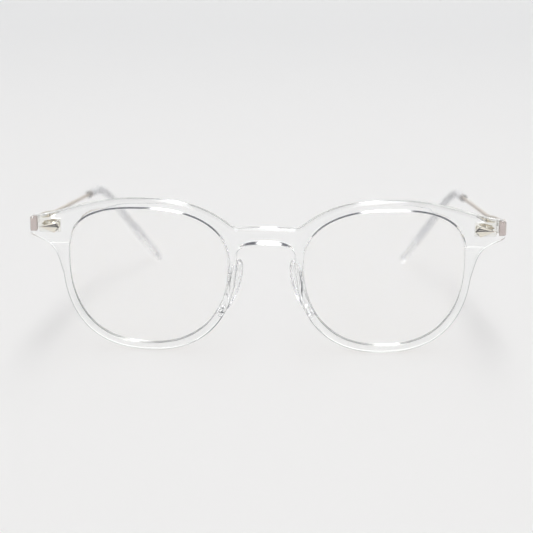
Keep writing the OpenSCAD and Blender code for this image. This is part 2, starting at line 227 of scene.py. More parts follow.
class Builder:
    """Collects points in millimetres and faces, then makes one mesh object in metres."""

    def __init__(self):
        self.points, self.faces, self.second = [], [], set()

    def add(self, points):
        first = len(self.points)
        self.points.extend(np.asarray(points, float).reshape(-1, 3).tolist())
        return list(range(first, len(self.points)))

    def bridge(self, a, b):
        """Quads between two closed rings of the same count."""
        n = len(a)
        self.faces += [(a[i], a[(i + 1) % n], b[(i + 1) % n], b[i]) for i in range(n)]

    def rings(self, rings):
        """Adds closed rings, joins each to the next and returns their point numbers."""
        ids = [self.add(r) for r in rings]
        for a, b in zip(ids, ids[1:]):
            self.bridge(a, b)
        return ids

    def fan(self, ring, centre):
        tip = self.add([centre])[0]
        n = len(ring)
        self.faces += [(ring[i], ring[(i + 1) % n], tip) for i in range(n)]

    def fill(self, outer, holes, surface, spacing, patches=(), creases=()):
        """A smooth cap on the surface, from the outer ring to the hole rings, with an even grid inside.

        Faces inside a patch outline take the second material. A crease is an outline the faces follow.
        """
        flat = np.array(self.points)[:, [0, 2]]
        rings = [outer] + holes
        low, high = flat[outer].min(0), flat[outer].max(0)
        grid = hex_grid(low, high, spacing)
        grid = grid[inside(grid, flat[outer])]
        for hole in holes:
            grid = grid[~inside(grid, flat[hole])]
        edge = np.vstack([flat[r] for r in rings])
        ids = [i for r in rings for i in r]
        edges, start = [], 0
        for r in rings:
            edges += [(start + i, start + (i + 1) % len(r)) for i in range(len(r))]
            start += len(r)
        for patch in list(patches) + list(creases):
            keep = inside(patch, flat[outer]) & (nearest(patch, edge) > 0.12)
            for hole in holes:
                keep &= ~inside(patch, flat[hole])
            number = start + np.cumsum(keep) - 1
            n = len(patch)
            edges += [(number[i], number[(i + 1) % n]) for i in range(n) if keep[i] and keep[(i + 1) % n]]
            kept = patch[keep]
            start += len(kept)
            ids += self.add(at_depth(kept, surface(kept[:, 0], kept[:, 1])))
            edge = np.vstack([edge, kept])
        edges = [(int(i), int(j)) for i, j in edges]
        grid = grid[nearest(grid, edge) > 0.6 * spacing]
        ids += self.add(at_depth(grid, surface(grid[:, 0], grid[:, 1])))
        flat_in = [Vector(p) for p in np.vstack([edge, grid])]
        out = delaunay_2d_cdt(flat_in, edges, [], 1, 1e-7)
        made, source = np.array([tuple(p) for p in out[0]]), [o[0] for o in out[3]]
        tris = np.array([t for t in out[2]])
        middle = made[tris].mean(1)
        keep = inside(middle, flat[outer])
        for hole in holes:
            keep &= ~inside(middle, flat[hole])
        in_patch = np.zeros(len(tris), bool)
        for patch in patches:
            in_patch |= inside(middle, patch)
        first = len(self.faces)
        self.faces += [tuple(ids[source[k]] for k in t) for t in tris[keep]]
        self.second.update(first + k for k, hit in enumerate(in_patch[keep]) if hit)

    def make(self, name, sharp=35, mirrored=False):
        mesh = bpy.data.meshes.new(name)
        points = np.array(self.points) * MM
        if mirrored:
            points = points * (-1, 1, 1)
        mesh.from_pydata(points.tolist(), [], self.faces)
        for face in self.second:
            mesh.polygons[face].material_index = 1
        b = bmesh.new()
        b.from_mesh(mesh)
        bmesh.ops.remove_doubles(b, verts=b.verts, dist=1e-9)
        bmesh.ops.recalc_face_normals(b, faces=b.faces)
        b.to_mesh(mesh)
        b.free()
        mesh.shade_smooth()
        mesh.set_sharp_from_angle(angle=math.radians(sharp))
        obj = bpy.data.objects.new(name, mesh)
        bpy.context.scene.collection.objects.link(obj)
        return obj


def hex_grid(low, high, spacing):
    rows = np.arange(low[1], high[1], spacing * math.sqrt(3) / 2)
    cols = np.arange(low[0], high[0] + spacing, spacing)
    return np.vstack([np.stack([cols + (k % 2) * spacing / 2, np.full(len(cols), z)], axis=1)
                      for k, z in enumerate(rows)])


def inside(points, ring):
    """True for each point inside the closed line."""
    x, z = points[:, 0][:, None], points[:, 1][:, None]
    a, b = ring, np.roll(ring, -1, axis=0)
    spans = (a[:, 1] > z) != (b[:, 1] > z)
    rise = np.where(b[:, 1] == a[:, 1], 1e-12, b[:, 1] - a[:, 1])
    cross = a[:, 0] + (z - a[:, 1]) / rise * (b[:, 0] - a[:, 0])
    return (np.sum(spans & (x < cross), axis=1) % 2).astype(bool)


def nearest(points, others):
    gaps = [np.sqrt(((p - others) ** 2).sum(1).min()) for p in points]
    return np.array(gaps) if gaps else np.zeros(0)


def box_ring(low, high, inset=0.0):
    """The four corners of an upright rectangle, anticlockwise."""
    (x0, z0), (x1, z1) = low, high
    return np.array([[x0 + inset, z0 + inset], [x1 - inset, z0 + inset],
                     [x1 - inset, z1 - inset], [x0 + inset, z1 - inset]])


def circle_xz(x, z, radius, count):
    a = np.linspace(0, 2 * math.pi, count, endpoint=False)
    return np.stack([x + radius * np.cos(a), z + radius * np.sin(a)], axis=1)


def at_depth(flat, y):
    y = np.broadcast_to(y, (len(flat),))
    return np.stack([flat[:, 0], y, flat[:, 1]], axis=1)


# ---- the front: rims, bridge and endpieces as one rounded moulding ----

GROOVE_W, GROOVE_DEEP = 0.9, 0.5
NO_GRID = 20.0                          # a spacing so wide that a small cap gets no points inside
ARCH_SLOPE = 0.75                       # the underside of the bridge rises this much towards the face
RIM_EDGE, BROW_EXTRA, BELOW_END_LESS = 1.25, 0.15, 0.3
END_EDGE, ARCH_EDGE = 0.7, 0.85
BACK_EDGE, THIN_LESS, PAD_EDGE = 0.75, 0.35, 0.12


def edge_radius(x, z):
    """Radius of the outer front edge: broad on rims and brows, tighter on the endpieces and the arch."""
    x = np.abs(x)
    below_end = rise(x, END_X - 13.2, END_X - 8.2) * rise(z, 29, 32) * (1 - rise(z, 35, 36.5))
    radius = RIM_EDGE + BROW_EXTRA * rise(z, 38, 42) - BELOW_END_LESS * below_end
    end = rise(x, END_X - 1.2, END_X - 0.2)
    radius = radius * (1 - end) + END_EDGE * end
    arch = rise(z, 24, 28) * (1 - rise(z, 33.6, 34.6)) * (x < ARCH_W + 1.2)
    return radius * (1 - arch) + ARCH_EDGE * arch


def wall_rings(flat, into, front_r, back_r, lean, steps=6, wall_steps=5):
    """Rings from the front cap's edge, over a rounded edge, along the wall, to the back cap's edge."""
    rings = []
    turn = np.linspace(0, math.pi / 2, steps + 1)
    for a in turn:
        at = flat + into * (front_r * (1 - np.sin(a)))[:, None]
        rings.append(at_depth(at, front_y(at[:, 0], at[:, 1]) + front_r * (1 - np.cos(a))))
    for t in np.linspace(0, 1, wall_steps + 2)[1:-1]:
        at = flat + lean * t
        y0 = front_y(at[:, 0], at[:, 1]) + front_r
        y1 = back_y(at[:, 0], at[:, 1]) - back_r
        rings.append(at_depth(at, y0 + (y1 - y0) * t))
    for a in turn[::-1]:
        at = flat + lean + into * (back_r * (1 - np.sin(a)))[:, None]
        rings.append(at_depth(at, back_y(at[:, 0], at[:, 1]) - back_r * (1 - np.cos(a))))
    return rings


def groove_rings(flat, into, edge_r=0.45, steps=4):
    """Rings of a lens opening, with its V groove and a small lip on either side of it."""
    rings = []
    turn = np.linspace(0, math.pi / 2, steps + 1)
    for a in turn:
        at = flat + into * edge_r * (1 - np.sin(a))
        rings.append(at_depth(at, front_y(at[:, 0], at[:, 1]) + edge_r * (1 - np.cos(a))))
    lip = 0.08
    for behind, deep in ((-GROOVE_W / 2 - lip, 0), (-GROOVE_W / 2, 0.02), (0, GROOVE_DEEP),
                         (GROOVE_W / 2, 0.02), (GROOVE_W / 2 + lip, 0)):
        at = flat + into * deep
        rings.append(at_depth(at, layer_y(at[:, 0], behind)))
    for a in turn[::-1]:
        at = flat + into * edge_r * (1 - np.sin(a))
        rings.append(at_depth(at, back_y(at[:, 0], at[:, 1]) - edge_r * (1 - np.cos(a))))
    return rings


def front_moulding():
    """The front, with pockets and pin holes for the hinges. Also returns the outline of its flat back."""
    b = Builder()
    flat = front_outline()
    into = -outward(flat)
    x, z = flat[:, 0], flat[:, 1]
    arch = (np.abs(x) < ARCH_W + 0.8) * rise(z, 25.5, 29.5) * (z < ARCH_TOP + 1)
    front_r = edge_radius(x, z)
    at_pad = (np.abs(x) < 16) * rise(z, 9, 11) * (1 - rise(z, 28, 29.5))
    back_r = BACK_EDGE - THIN_LESS * np.maximum(arch, rise(np.abs(x), 58, 62))
    back_r = back_r * (1 - at_pad) + PAD_EDGE * at_pad
    lean = np.stack([np.zeros(len(flat)), ARCH_SLOPE * arch * np.clip(into[:, 1], 0, 1)], axis=1)
    outer = b.rings(wall_rings(flat, into, front_r, back_r, lean))
    floor_y = leaf_low[1] + SUNK
    fronts, backs, floors = [], [], []
    for side in (1, -1):
        eye = anticlockwise(eye_outline() * (side, 1))
        rings = b.rings(groove_rings(eye, outward(eye)))
        fronts.append(rings[0])
        backs.append(rings[-1])
        pocket = box_ring((leaf_low[0], leaf_low[2]), (LEAF_OUT, leaf_high[2]), SUNK) * (side, 1)
        rings = b.rings([at_depth(pocket, END_BACK), at_depth(pocket, floor_y)])
        backs.append(rings[0])
        floor_holes = []
        for pin_x in PIN_XS:
            hole = circle_xz(side * pin_x, HINGE_Z, PIN_R - SUNK / 2, 24)
            mouth, end = b.rings([at_depth(hole, front_y(hole[:, 0], 0)), at_depth(hole, floor_y)])
            fronts.append(mouth)
            floor_holes.append(end)
        floors.append((rings[1], floor_holes))
    b.fill(outer[0], fronts, front_y, 1.2)
    pads = [pad_outline() * (side, 1) for side in (1, -1)]
    step_ring = box_ring((RAMP_X + 2, RAMP_Z), (END_X, RAMP_Z + RAMP_RISE))
    steps = [resample(step_ring, 0.35) * (side, 1) for side in (1, -1)]
    b.fill(outer[-1], backs, back_y, 0.8, pads, steps)
    for floor, holes in floors:
        b.fill(floor, holes, lambda x, z: np.full(len(x), floor_y), NO_GRID)
    cap = np.array(b.points)[outer[-1]][:, [0, 2]]
    return b.make("front_moulding", sharp=40), cap


# ---- lens: a thin shell with a V bevel round its edge ----

LENS_T = 1.8
LENS_BULGE = 0.9


def lens_rise(x, z):
    """How far the lens bows forward of the wrap, nothing at its edge."""
    u = (np.abs(x) - (EYE_IN + EYE_OUT) / 2) / (EYE_W / 2)
    v = (z - (EYE_LOW + EYE_HIGH) / 2) / (EYE_H / 2)
    return LENS_BULGE * np.clip(1 - u * u - v * v, 0, 1) ** 2


def lens(name, mirrored):
    """A bowed shell with rounded corners, a gap all round and a V bevel that reaches into the groove."""
    b = Builder()

    def face(behind):
        return lambda x, z: layer_y(x, behind) - lens_rise(x, z)

    rings = []
    half, corner, bevel_half, gap = LENS_T / 2, 0.08, 0.42, 0.05
    peak = SEAT - 0.03
    front_half = [(-gap - corner, -half), (-gap, corner - half), (-gap, -bevel_half), (peak, -0.03)]
    for grow, behind in front_half + [(grow, -behind) for grow, behind in front_half[::-1]]:
        flat = eye_outline()
        flat = flat + outward(flat) * grow
        rings.append(at_depth(flat, face(behind)(flat[:, 0], flat[:, 1])))
    ids = b.rings(rings)
    b.fill(ids[0], [], face(-LENS_T / 2), 1.6)
    b.fill(ids[-1], [], face(LENS_T / 2), 1.6)
    return b.make(name, sharp=25, mirrored=mirrored)


# ---- nose pad ----

PAD_MID_Z, PAD_HALF_H, PAD_HALF_W = 19.2, 8.6, 1.95
PAD_SPINE_UP, PAD_SPINE_DOWN = 0.72, 0.50   # how far its crown runs towards head and foot
PAD_LEAN = 0.9                          # how far the crown leans towards the nose
CEMENT = 0.012                          # thickness of the joint between pad and rim


def pad_middle(s):
    """X of the pad's middle line, s from -1 at its foot to 1 at its head."""
    return 10.1 - 2.7 * s + 1.2 * s * s


def opening_edge(z):
    """X of the nose side of the lens opening."""
    low = z < IN_Z
    reach = np.where(low, BOTTOM_X, TOP_X) - EYE_IN
    tall = np.where(low, IN_Z - EYE_LOW, EYE_HIGH - IN_Z)
    power = np.where(low, IN_LOW_N, IN_HIGH_N)
    share = np.clip(np.abs(z - IN_Z) / tall, 0, 1)
    return EYE_IN + reach * (1 - (1 - share ** power) ** (1 / power))


def pad_outline(count=96):
    """Where the left pad meets the back of the rim."""
    around = np.linspace(0, 2 * math.pi, count, endpoint=False)
    flat = super_point((0, 0), (PAD_HALF_W, PAD_HALF_H), 2.4, around)
    x = pad_middle(flat[:, 1] / PAD_HALF_H) + flat[:, 0]
    z = PAD_MID_Z + flat[:, 1]
    return np.stack([np.minimum(x, opening_edge(z) - 0.5), z], axis=1)


def pad_seat(x, z):
    """Y of the pad's flat side, a hair behind the back of the rim at any height z."""
    return layer_y(x, FRONT_T / 2) + CEMENT


def nose_pad(name, cap, mirrored):
    """A rounded pad that leans towards the nose, fused to the rim where it touches."""
    b = Builder()
    outline = pad_outline()
    s = (outline[:, 1] - PAD_MID_Z) / PAD_HALF_H
    spine_z = PAD_MID_Z + PAD_HALF_H * np.where(s > 0, PAD_SPINE_UP, PAD_SPINE_DOWN) * s
    spine_x = pad_middle((spine_z - PAD_MID_Z) / PAD_HALF_H)
    tall = 5.2 + 0.3 * s - 1.3 * s * s
    rings = []
    for turn in np.linspace(0, math.pi / 2, 22)[:-1]:
        climb, shrink = math.sin(turn), math.cos(turn) ** 0.75
        x = spine_x + (outline[:, 0] - spine_x) * shrink - PAD_LEAN * climb
        z = spine_z + (outline[:, 1] - spine_z) * shrink
        y = pad_seat(outline[:, 0], z) + tall * climb ** 1.15
        rings.append(np.stack([x, y, z], axis=1))
    ids = b.rings(rings)
    b.fill(ids[0], [], pad_seat, 0.5, [cap])
    b.fan(ids[-1][::-1], rings[-1].mean(0))
    return b.make(name, sharp=60, mirrored=mirrored)


# ---- rivet stud: a fluted arrowhead with two pins ----

STUD_TIP_X, STUD_LONG, STUD_SHOULDER, STUD_HALF = END_X - 3.1, 6.1, 4.4, 1.7
FLUTE_PAIRS, WIDE_SHARE = 6, 0.68       # each pair is a wide flute and a narrow one
EDGE_H, SKIRT = 0.45, 0.02              # the arrowhead's upright edge, and how far it sinks into the front
CREST_H, CREST_RISE = 0.52, 0.66        # crest height at the sides, and how much higher in the middle
RIDGE_RISE, CORNER_H = 0.10, 0.60       # a ridge above its valleys, and the two outermost corners


def lathe(b, profile, origin, axis, count):
    """Adds a closed turned solid along axis, a level direction of length one.

    profile is (radius, distance) pairs, the first and last of them on the axis.
    """
    axis = np.array(axis, float)
    side = np.cross(axis, (0, 0, 1))
    other = np.cross(axis, side)
    a = np.linspace(0, 2 * math.pi, count, endpoint=False)[:, None]
    spoke = np.cos(a) * side + np.sin(a) * other
    rings = [np.array(origin) + axis * d + spoke * r for r, d in profile[1:-1]]
    ids = b.rings(rings)
    b.fan(ids[0], np.array(origin) + axis * profile[0][1])
    b.fan(ids[-1][::-1], np.array(origin) + axis * profile[-1][1])


def flute_stops():
    """Where the ridges and valleys end across the arrowhead, from -1 to 1."""
    starts = [(k + f) * 2 / FLUTE_PAIRS for k in range(FLUTE_PAIRS // 2) for f in (0, 1 - WIDE_SHARE)]
    half = starts + [1.0]
    return np.array([-t for t in half[:0:-1]] + half)


def stud_head(b):
    """Flutes fan out from the outer tip to the two inner edges of the arrowhead."""
    across = flute_stops()
    count = len(across)
    inner_edge = STUD_SHOULDER + (STUD_LONG - STUD_SHOULDER) * (1 - np.abs(across)) ** 0.8
    edge = np.vstack([[[0.0, 0.0]], np.stack([inner_edge, STUD_HALF * across], axis=1)])

    def lift(flat, height):
        x = STUD_TIP_X - flat[:, 0]
        return np.stack([x, front_y(x, 0) - height, HINGE_Z + flat[:, 1]], axis=1)

    ridge = np.abs(np.arange(count) - count // 2) % 2
    crest_h = CREST_H + CREST_RISE * (1 - np.abs(across)) + RIDGE_RISE * ridge
    crest_h[0] = crest_h[-1] = CORNER_H
    crest = edge[1:] * [0.915, 0.88]
    base = b.add(lift(edge, -SKIRT))
    rim = b.add(lift(edge, EDGE_H))
    b.bridge(base, rim)
    tip = b.add(lift(np.array([[0.25, 0.0]]), np.array([EDGE_H + 0.12])))[0]
    mid = b.add(lift(crest * 0.55 + [0.10, 0], CREST_H + (crest_h - CREST_H) * 0.62))
    top = b.add(lift(crest, crest_h))
    for i in range(count - 1):
        b.faces.append((tip, mid[i], mid[i + 1]))
        b.faces.append((mid[i], top[i], top[i + 1], mid[i + 1]))
        b.faces.append((top[i], rim[i + 1], rim[i + 2], top[i + 1]))
    b.faces.append((rim[0], rim[1], top[0], mid[0], tip))
    b.faces.append((rim[0], tip, mid[-1], top[-1], rim[-1]))
    b.faces.append(tuple(base))


def rivet_pin(b, pin_x):
    """A pin from the arrowhead to a small head riveted over behind the hinge plate."""
    start = front_y(pin_x, 0)
    back = END_BACK - start
    profile = [(0, -0.2), (PIN_R, -0.2), (PIN_R, back + 0.04), (PIN_R + 0.14, back + 0.05),
               (PIN_R + 0.10, back + 0.14), (PIN_R - 0.12, back + 0.2), (0, back + 0.2)]
    lathe(b, profile, (pin_x, start, HINGE_Z), (0, 1, 0), 32)


def rivet_stud(name, mirrored):
    """The arrowhead and its two pins, one piece."""
    b = Builder()
    stud_head(b)
    for pin_x in PIN_XS:
        rivet_pin(b, pin_x)
    return b.make(name, sharp=12, mirrored=mirrored)


# ---- temples ----


def unit(v):
    """The same direction with length one."""
    return v / np.linalg.norm(v)


ARM_IN, ARM_DOWN = 0.099, 0.045         # how far the arm runs inwards and down for each unit backwards
ARM_WAY = unit(np.array([-ARM_IN, 1, -ARM_DOWN]))
WIRE_RUN, WIRE_R, BEND_R = 64.0, 0.6, 25.0
CORNER_RUN = 21.0                       # from the tip's start to where its bend's two straight lines meet
TIP_R_END = 1.9
ARM_START = np.array([END_X - 0.9, block_back, HINGE_Z])
TIP_START = ARM_START + ARM_WAY * WIRE_RUN
TIP_CORNER = TIP_START + ARM_WAY * CORNER_RUN
TIP_END = np.array([tip_low[0] + TIP_R_END, tip_high[1] - TIP_R_END, tip_low[2] + TIP_R_END])
DROP_WAY = unit(TIP_END - TIP_CORNER)
BEND = math.acos(float(ARM_WAY @ DROP_WAY))
BEND_RUN = BEND_R * math.tan(BEND / 2)
ACROSS = unit(np.cross(ARM_WAY, DROP_WAY))
DOWN = np.cross(ACROSS, ARM_WAY)
LEG = np.linalg.norm(TIP_CORNER - ARM_START) - BEND_RUN
DROP = np.linalg.norm(TIP_END - TIP_CORNER) - BEND_RUN
ARC = BEND_R * BEND
TIP_LONG = LEG - WIRE_RUN + ARC + DROP


def temple_path(s):
    """Point, direction and downward side of the centre line, s millimetres from its front end."""
    if s <= LEG:
        return ARM_START + ARM_WAY * s, ARM_WAY, DOWN
    a = min(s - LEG, ARC) / BEND_R
    bend_start = ARM_START + ARM_WAY * LEG
    point = bend_start + ARM_WAY * BEND_R * math.sin(a) + DOWN * BEND_R * (1 - math.cos(a))
    way = ARM_WAY * math.cos(a) + DOWN * math.sin(a)
    down = DOWN * math.cos(a) - ARM_WAY * math.sin(a)
    return point + way * max(0.0, s - LEG - ARC), way, down


def sweep(b, stations, section, count=40):
    """A tube along the temple's path. section(s) gives (half height, half width, squareness)."""
    around = np.linspace(0, 2 * math.pi, count, endpoint=False)
    rings = []
    for s in stations:
        point, way, down = temple_path(s)
        high, wide, power = section(s)
        flat = super_point((0, 0), (high, wide), power, around)
        rings.append(point + flat[:, :1] * down + flat[:, 1:] * ACROSS)
    return b.rings(rings), rings


CORE_R = 0.36                           # the wire is drawn down to this inside the tip
SEAT_RUN = WIRE_RUN + 1.6               # where the wire's full thickness ends, just inside the tip
CORE_RUN = 0.65 * DROP                  # how far the core reaches past the bend
STEP = 0.001                            # half the length of a sharp step in a sweep


def temple_arm(name, mirrored):
    """A wire that is flattened upright at its front end and drawn down inside the ear tip."""
    neck, flat_run = 22.0, 4.0
    end = LEG + ARC + CORE_RUN

    def section(s):
        t = rise(s, flat_run, neck)
        wire = WIRE_R if s < SEAT_RUN else CORE_R
        high = 1.7 * (1 - t) + wire * t
        power = 6 - 4 * t
        cap = math.sqrt(max(0.001, 1 - max(0.0, (s - end + CORE_R) / CORE_R) ** 2))
        return high * cap, (wire + 0.03 * (1 - t)) * cap, power

    b = Builder()
    flattened = [[0.0, 0.08], np.linspace(0.5, neck + 2, 48)]
    wire = [np.linspace(neck + 5, SEAT_RUN - 0.05, 18), [SEAT_RUN - STEP, SEAT_RUN + STEP]]
    inside_tip = [np.linspace(SEAT_RUN + 1, LEG, 6), np.linspace(LEG, LEG + ARC, 24)[1:],
                  np.linspace(LEG + ARC, end - CORE_R, 12)[1:]]
    round_end = [end - CORE_R + CORE_R * np.sin(np.linspace(0, math.pi / 2, 7)[1:])]
    stations = np.concatenate(flattened + wire + inside_tip + round_end)
    ids, rings = sweep(b, stations, section)
    bare = int(np.sum(stations < SEAT_RUN)) * len(ids[0])
    b.fan(ids[-1][::-1], rings[-1].mean(0))
    b.second.update(range(bare, len(b.faces)))
    b.fan(ids[0], rings[0].mean(0))
    start = np.array(b.points)
    start[:, 1] = np.maximum(start[:, 1], block_back)
    b.points = start.tolist()
    return b.make(name, sharp=45, mirrored=mirrored)


def temple_tip(name, mirrored):
    """A clear sleeve that swells from round to a flattened paddle, with a bore for the wire."""
    first, last = WIRE_RUN, WIRE_RUN + TIP_LONG
    shoulder, total = last - 1.2, last + TIP_R_END

    def section(s):
        t = (s - first) / TIP_LONG
        high = 1.25 + 0.75 * rise(t, 0, 1 / 1.15)
        wide = 1.22 - 0.02 * t
        past = max(0.0, s - shoulder) / (total - shoulder)
        cap = max(0.0, 1 - past ** 2.2) ** (1 / 2.2)
        start = min(1.0, 0.9 + (s - first) / 0.25 * 0.1)
        return high * max(cap, 0.01) * start, wide * max(cap, 0.01) * start, 2.2

    b = Builder()
    straight = [[first, first + 0.1], np.linspace(first + 0.25, LEG, 12)]
    bent = [np.linspace(LEG, LEG + ARC, 28)[1:], np.linspace(LEG + ARC, shoulder, 26)[1:]]
    round_end = [shoulder + (total - shoulder) * np.sin(np.linspace(0, math.pi / 2, 14)[1:])]
    stations = np.concatenate(straight + bent + round_end)
    outer, _ = sweep(b, stations, section)
    bore_end = LEG + ARC + CORE_RUN + 0.1
    grip = 0.008

    def bore(s):
        wire = (WIRE_R if s < SEAT_RUN else CORE_R) - grip
        return wire, wire, 2.0

    seat = [[first, SEAT_RUN - 0.1, SEAT_RUN - STEP, SEAT_RUN + STEP]]
    core = [np.linspace(SEAT_RUN + 0.5, LEG, 8), np.linspace(LEG, LEG + ARC, 24)[1:],
            np.linspace(LEG + ARC, bore_end, 10)[1:]]
    inner, rings = sweep(b, np.concatenate(seat + core), bore)
    b.bridge(outer[0], inner[0])
    b.fan(inner[-1], rings[-1].mean(0))
    end_point = temple_path(stations[-1])[0]
    b.fan(outer[-1][::-1], end_point)
    return b.make(name, sharp=45, mirrored=mirrored)


# ---- materials ----


def new_material(name):
    material = bpy.data.materials.new(name)
    material.use_nodes = True
    nodes = material.node_tree.nodes
    nodes.clear()
    return material, nodes, material.node_tree.links


def add(nodes, kind, **values):
    node = nodes.new(kind)
    for key, value in values.items():
        if key in node.inputs:
            node.inputs[key].default_value = value
        else:
            setattr(node, key, value)
    return node


def worked(nodes, links, operation, left, right=None):
    """One step of arithmetic on node outputs or plain values."""
    step = add(nodes, "ShaderNodeMath", operation=operation)
    for socket, value in zip(step.inputs, (left, right)):
        if isinstance(value, (int, float)):
            socket.default_value = value
        elif value is not None:
            links.new(value, socket)
    return step.outputs[0]


def smooth_step(nodes, links, source, start, end, low=0.0):
    """Rises smoothly from low to 1 as the source goes from start to end."""
    node = nodes.new("ShaderNodeMapRange")
    node.interpolation_type = "SMOOTHSTEP"
    node.inputs["From Min"].default_value = start
    node.inputs["From Max"].default_value = end
    node.inputs["To Min"].default_value = low
    links.new(source, node.inputs["Value"])
    return node.outputs["Result"]


def spread(nodes, links, source, low, high):
    """Maps a 0 to 1 value onto low to high."""
    node = nodes.new("ShaderNodeMapRange")
    node.inputs["To Min"].default_value = low
    node.inputs["To Max"].default_value = high
    links.new(source, node.inputs["Value"])
    return node.outputs["Result"]


def blend(nodes, links, share, *colours):
    """Mixes two colours, each a plain colour or a node output."""
    mix = add(nodes, "ShaderNodeMix", data_type="RGBA")
    links.new(share, mix.inputs["Factor"])
    sockets = [s for s in mix.inputs if s.type == "RGBA"]
    for socket, colour in zip(sockets, colours):
        if isinstance(colour, tuple):
            socket.default_value = colour
        else:
            links.new(colour, socket)
    return [o for o in mix.outputs if o.type == "RGBA"][0]


def position_part(nodes, links, axis):
    """One coordinate of the point being shaded, in metres."""
    split = nodes.new("ShaderNodeSeparateXYZ")
    links.new(nodes.new("ShaderNodeNewGeometry").outputs["Position"], split.inputs[0])
    return split.outputs[axis]


def noise_height(nodes, links, scale, detail=3.0, stretch=(1, 1, 1)):
    place = nodes.new("ShaderNodeTexCoord")
    mapping = nodes.new("ShaderNodeMapping")
    mapping.inputs["Scale"].default_value = stretch
    links.new(place.outputs["Object"], mapping.inputs["Vector"])
    noise = add(nodes, "ShaderNodeTexNoise", Scale=scale, Detail=detail)
    links.new(mapping.outputs["Vector"], noise.inputs["Vector"])
    return noise.outputs["Fac"]


def add_bump(nodes, links, body, height, strength, distance):
    bump = add(nodes, "ShaderNodeBump", Strength=strength, Distance=distance)
    links.new(height, bump.inputs["Height"])
    links.new(bump.outputs["Normal"], body.inputs["Normal"])


def show_surface(nodes, links, shader):
    out = nodes.new("ShaderNodeOutputMaterial")
    links.new(shader, out.inputs["Surface"])


def light_shadow(nodes, links, shader, tint):
    """Lets most light through on its way to and from the paper, as clear plastic does."""
    path = nodes.new("ShaderNodeLightPath")
    clear = add(nodes, "ShaderNodeBsdfTransparent", Color=tint)
    mix = nodes.new("ShaderNodeMixShader")
    shadow, paper = path.outputs["Is Shadow Ray"], path.outputs["Is Diffuse Ray"]
    links.new(worked(nodes, links, "MAXIMUM", shadow, paper), mix.inputs["Fac"])
    links.new(shader, mix.inputs[1])
    links.new(clear.outputs[0], mix.inputs[2])
    show_surface(nodes, links, mix.outputs[0])


PLASTIC_IOR, LENS_IOR = 1.49, 1.56
PLASTIC_SHADOW = (0.945, 0.935, 0.93, 1)
LENS_SHADOW = (0.98, 0.98, 0.975, 1)
SLANT_START, SLANT_FULL = 0.30, 0.78    # how slanted a face looks where its painted edge shade starts and is full
EDGE_SHADE_HIGH, EDGE_SHADE_LOW = 0.036, 0.020      # heights between which the painted edge shade grows, in metres
EDGE_SHADE_TOP_SHARE = 0.45                   # the share of the painted edge shade that the brows keep


def clear_plastic(name, tint, painted_edge_shade, roughness):
    """Polished acetate: moulding ripple, hairline scratches, and painted shade on slanted faces, darkest
    low on the rims, in place of the dark edges that light bent through the plastic gives.
    """
    material, nodes, links = new_material(name)
    body = add(nodes, "ShaderNodeBsdfPrincipled", **{"IOR": PLASTIC_IOR, "Transmission Weight": 1.0})
    # Painted shade: the edge colour is mixed in where faces are seen slanted, and more of it low down.
    facing = nodes.new("ShaderNodeLayerWeight").outputs["Facing"]
    slant_shade = smooth_step(nodes, links, facing, SLANT_START, SLANT_FULL)
    height = position_part(nodes, links, "Z")
    low = smooth_step(nodes, links, height, EDGE_SHADE_HIGH, EDGE_SHADE_LOW, EDGE_SHADE_TOP_SHARE)
    share = worked(nodes, links, "MULTIPLY", slant_shade, low)
    links.new(blend(nodes, links, share, tint, painted_edge_shade), body.inputs["Base Color"])
    ripple = noise_height(nodes, links, 260.0, 2.0)
    scratches = noise_height(nodes, links, 900.0, 4.0, (1, 1, 6))
    haze = spread(nodes, links, scratches, roughness * 0.6, roughness * 2.2)
    links.new(haze, body.inputs["Roughness"])
    add_bump(nodes, links, body, ripple, 0.05, 0.0002)
    light_shadow(nodes, links, body.outputs[0], PLASTIC_SHADOW)
    return material


def fused_joint():
    """The hidden joint between two pieces of the same plastic: light goes straight through it."""
    material, nodes, links = new_material("fused_joint")
    clear = add(nodes, "ShaderNodeBsdfTransparent", Color=(1, 1, 1, 1))
    show_surface(nodes, links, clear.outputs[0])
    return material


def lens_material():
    """Hard lens with a blue-violet anti-reflection coat and a trace of yellow in the body."""
    material, nodes, links = new_material("coated_lens")
    body = add(nodes, "ShaderNodeBsdfPrincipled",
               **{"Base Color": (0.992, 0.99, 0.985, 1), "IOR": LENS_IOR, "Transmission Weight": 1.0,
                  "Specular IOR Level": 0.32, "Specular Tint": (0.55, 0.62, 1.0, 1)})
    smear = noise_height(nodes, links, 60.0, 4.0, (1, 1, 2.5))
    links.new(spread(nodes, links, smear, 0.0, 0.02), body.inputs["Roughness"])
    light_shadow(nodes, links, body.outputs[0], LENS_SHADOW)
    return material


def metal(name, colour, roughness, grain_scale, stretch, grain, wear=0.1):
    """Plated metal: fine grain, cloudy polish and slightly darker patches of wear."""
    material, nodes, links = new_material(name)
    body = add(nodes, "ShaderNodeBsdfPrincipled", Metallic=1.0)
    fine = noise_height(nodes, links, grain_scale, 4.0, stretch)
    cloud = noise_height(nodes, links, 180.0, 3.0)
    worn = tuple(c * (1 - wear) for c in colour)
    links.new(blend(nodes, links, cloud, colour + (1,), worn + (1,)), body.inputs["Base Color"])
    links.new(spread(nodes, links, fine, roughness * 0.6, roughness * 1.5), body.inputs["Roughness"])
    add_bump(nodes, links, body, fine, grain, 0.00002)
    show_surface(nodes, links, body.outputs[0])
    return material


def nylon_material():
    material, nodes, links = new_material("washer_nylon")
    body = add(nodes, "ShaderNodeBsdfPrincipled",
               **{"Base Color": (0.86, 0.85, 0.80, 1), "Subsurface Weight": 0.2})
    grain = noise_height(nodes, links, 2500.0, 2.0)
    links.new(spread(nodes, links, grain, 0.4, 0.6), body.inputs["Roughness"])
    add_bump(nodes, links, body, grain, 0.2, 0.00001)
    show_surface(nodes, links, body.outputs[0])
    return material


# ---- build the pieces ----


def dress(obj, material, body, node):
    """Gives a new piece its material and slot, and lets it ride on a body in place of a CAD node."""
    obj.data.materials.append(material)
    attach(obj, body)
    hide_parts(node)


